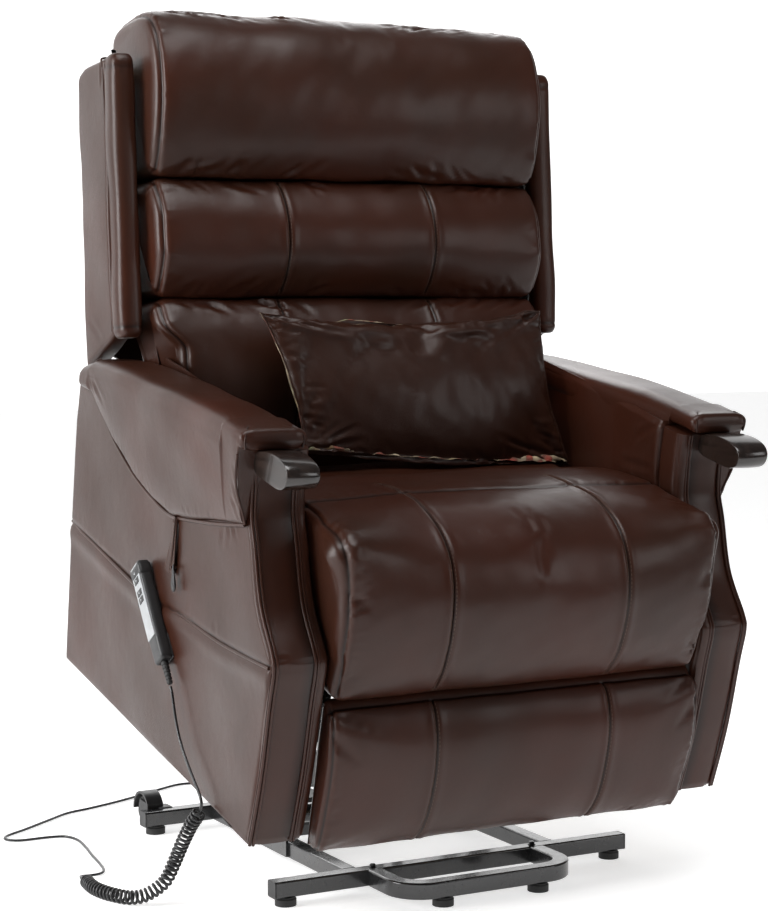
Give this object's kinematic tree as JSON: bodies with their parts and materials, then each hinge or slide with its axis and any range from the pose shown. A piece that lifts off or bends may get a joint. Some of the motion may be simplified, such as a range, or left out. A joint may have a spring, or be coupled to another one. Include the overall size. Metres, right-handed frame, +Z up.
{
  "type": "lift recliner chair",
  "caption": "Padded lift recliner chair with winged back, footrest, wooden hand grips and a wired handset, raised and tilted by a linkage on a low steel base.",
  "frame": {"origin": "on the floor, under the middle of the chair's width and depth as it stands, cord left out", "axes": "+Z up; -Y to the front, where the sitter's feet go; +X to the sitter's left; the handset hangs on the -X side"},
  "size_m": [0.9472, 1.0525, 1.334],
  "materials": {
    "steel_black": "gloss",
    "steel_bright": "satin",
    "plastic": "matte",
    "plastic_grey": "satin",
    "rubber": "matte",
    "leather": "semi-gloss",
    "leather_fine": "satin",
    "wood_frame": "raw",
    "wood_grip": "gloss",
    "webbing": "woven"
  },
  "bodies": {
    "base": {"front_tube": "steel_black", "rear_tube": "steel_black", "base_rails": "steel_black", "front_bar": "steel_black", "tube_end_caps": "plastic", "rubber_feet": "rubber", "lift_mounts": "steel_black", "base_pins": "steel_bright", "wheel_brackets": "plastic", "control_box": "plastic", "floor_lead": "plastic"},
    "wheel_left_body": {"wheel_left": "rubber"},
    "wheel_right_body": {"wheel_right": "rubber"},
    "lift_arm_body": {"lift_arms": "steel_black"},
    "rear_link_body": {"rear_links": "steel_black"},
    "lift_motor_body": {"lift_motor": "plastic"},
    "lift_rod_body": {"lift_rod": "steel_bright"},
    "carriage": {"chair_rails": "steel_black", "cross_rails": "steel_black", "chair_brackets": "steel_black", "seat_frame": "wood_frame", "seat_webbing": "webbing", "seat_cushion": "leather", "side_frames": "wood_frame", "side_panel_left": "leather", "side_panel_right": "leather", "inner_panel_left": "leather", "inner_panel_right": "leather", "front_post_left": "leather", "front_post_right": "leather", "arm_pad_left": "leather", "arm_pad_right": "leather", "arm_drape_left": "leather", "arm_drape_right": "leather", "hand_grip_left": "wood_grip", "hand_grip_right": "wood_grip", "back_motor": "plastic", "handset": "plastic", "handset_face": "plastic_grey", "strap_loop": "leather_fine", "handset_lead": "plastic", "curly_cord": "plastic"},
    "back": {"back_frame": "wood_frame", "outer_back": "leather_fine", "lower_cushion": "leather", "middle_cushion": "leather", "head_cushion": "leather", "wing_left": "leather", "wing_right": "leather"},
    "back_rod_body": {"back_rod": "steel_bright"},
    "pillow": {"lumbar_pillow": "leather_fine"},
    "foot_rear_link": {"footrest_rear_links": "steel_black"},
    "foot_front_link": {"footrest_front_links": "steel_black"},
    "footrest": {"footrest_board": "wood_frame", "footrest_pad": "leather"},
    "pull": {"strap_pull": "plastic"},
    "key_back_up": {"button_back_up": "plastic"},
    "key_back_down": {"button_back_down": "plastic"},
    "key_lift_up": {"button_lift_up": "plastic"},
    "key_lift_down": {"button_lift_down": "plastic"}
  },
  "joints": [
    {"name": "lift", "type": "hinge", "parent": "base", "child": "lift_arm_body", "pos_m": [0, 0.0509, 0.075], "axis": [1, 0, 0], "range_deg": [-40, 35]},
    {"name": "carriage_tilt", "type": "hinge", "parent": "lift_arm_body", "child": "carriage", "pos_m": [0, 0.26983, 0.33683], "axis": [1, 0, 0], "range_deg": [-24, 27.5]},
    {"name": "rear_link", "type": "hinge", "parent": "base", "child": "rear_link_body", "pos_m": [0, 0.0909, 0.064], "axis": [1, 0, 0], "range_deg": [-39.5, 34.5]},
    {"name": "lift_motor_swing", "type": "hinge", "parent": "base", "child": "lift_motor_body", "pos_m": [0, 0.3009, 0.085], "axis": [1, 0, 0], "range_deg": [-4.5, 4]},
    {"name": "lift_stroke", "type": "slide", "parent": "lift_motor_body", "child": "lift_rod_body", "axis": [0, -0.9856, 0.1689], "range_m": [-0.0362, 0.0317]},
    {"name": "recline", "type": "hinge", "parent": "carriage", "child": "back", "pos_m": [0, 0.28982, 0.49026], "axis": [1, 0, 0], "range_deg": [-40, 0]},
    {"name": "back_stroke", "type": "slide", "parent": "carriage", "child": "back_rod_body", "axis": [0, 0.9744, 0.225], "range_m": [-0.0518, 0.0005]},
    {"name": "footrest", "type": "hinge", "parent": "carriage", "child": "foot_rear_link", "pos_m": [0, -0.25919, 0.32554], "axis": [1, 0, 0], "range_deg": [-60, 0]},
    {"name": "footrest_front", "type": "hinge", "parent": "foot_rear_link", "child": "foot_front_link", "pos_m": [0, -0.23969, 0.16673], "axis": [1, 0, 0], "range_deg": [-0.5, 120.5]},
    {"name": "footrest_board", "type": "hinge", "parent": "foot_front_link", "child": "footrest", "pos_m": [0, -0.29178, 0.31802], "axis": [1, 0, 0], "range_deg": [-150.5, 0.5]},
    {"name": "pillow_lift", "type": "slide", "parent": "back", "child": "pillow", "axis": [0, -0.5069, 0.862], "range_m": [0, 0.12]},
    {"name": "wheel_left_roll", "type": "hinge", "parent": "base", "child": "wheel_left_body", "pos_m": [0.279, 0.3649, 0.029], "axis": [1, 0, 0], "continuous": true},
    {"name": "wheel_right_roll", "type": "hinge", "parent": "base", "child": "wheel_right_body", "pos_m": [-0.279, 0.3649, 0.029], "axis": [1, 0, 0], "continuous": true},
    {"name": "pull_swing", "type": "hinge", "parent": "carriage", "child": "pull", "pos_m": [-0.41, -0.05001, 0.49083], "axis": [1, 0, 0], "range_deg": [-25, 25]},
    {"name": "key_back_up_press", "type": "slide", "parent": "carriage", "child": "key_back_up", "axis": [1, 0, 0], "range_m": [0, 0.0012], "stiffness_N_per_m": 400, "springref_m": -0.0005},
    {"name": "key_back_down_press", "type": "slide", "parent": "carriage", "child": "key_back_down", "axis": [1, 0, 0], "range_m": [0, 0.0012], "stiffness_N_per_m": 400, "springref_m": -0.0005},
    {"name": "key_lift_up_press", "type": "slide", "parent": "carriage", "child": "key_lift_up", "axis": [1, 0, 0], "range_m": [0, 0.0012], "stiffness_N_per_m": 400, "springref_m": -0.0005},
    {"name": "key_lift_down_press", "type": "slide", "parent": "carriage", "child": "key_lift_down", "axis": [1, 0, 0], "range_m": [0, 0.0012], "stiffness_N_per_m": 400, "springref_m": -0.0005}
  ],
  "couplings": [
    {"joint": "carriage_tilt", "follows": "lift", "ratio": -0.675},
    {"joint": "rear_link", "follows": "lift", "ratio": 0.975},
    {"joint": "lift_motor_swing", "follows": "lift", "ratio": 0.0984},
    {"joint": "lift_stroke", "follows": "lift", "m_per_rad": 0.05117},
    {"joint": "back_stroke", "follows": "recline", "m_per_rad": 0.07348},
    {"joint": "footrest_front", "follows": "footrest", "ratio": -2},
    {"joint": "footrest_board", "follows": "footrest", "ratio": 2.5}
  ]
}
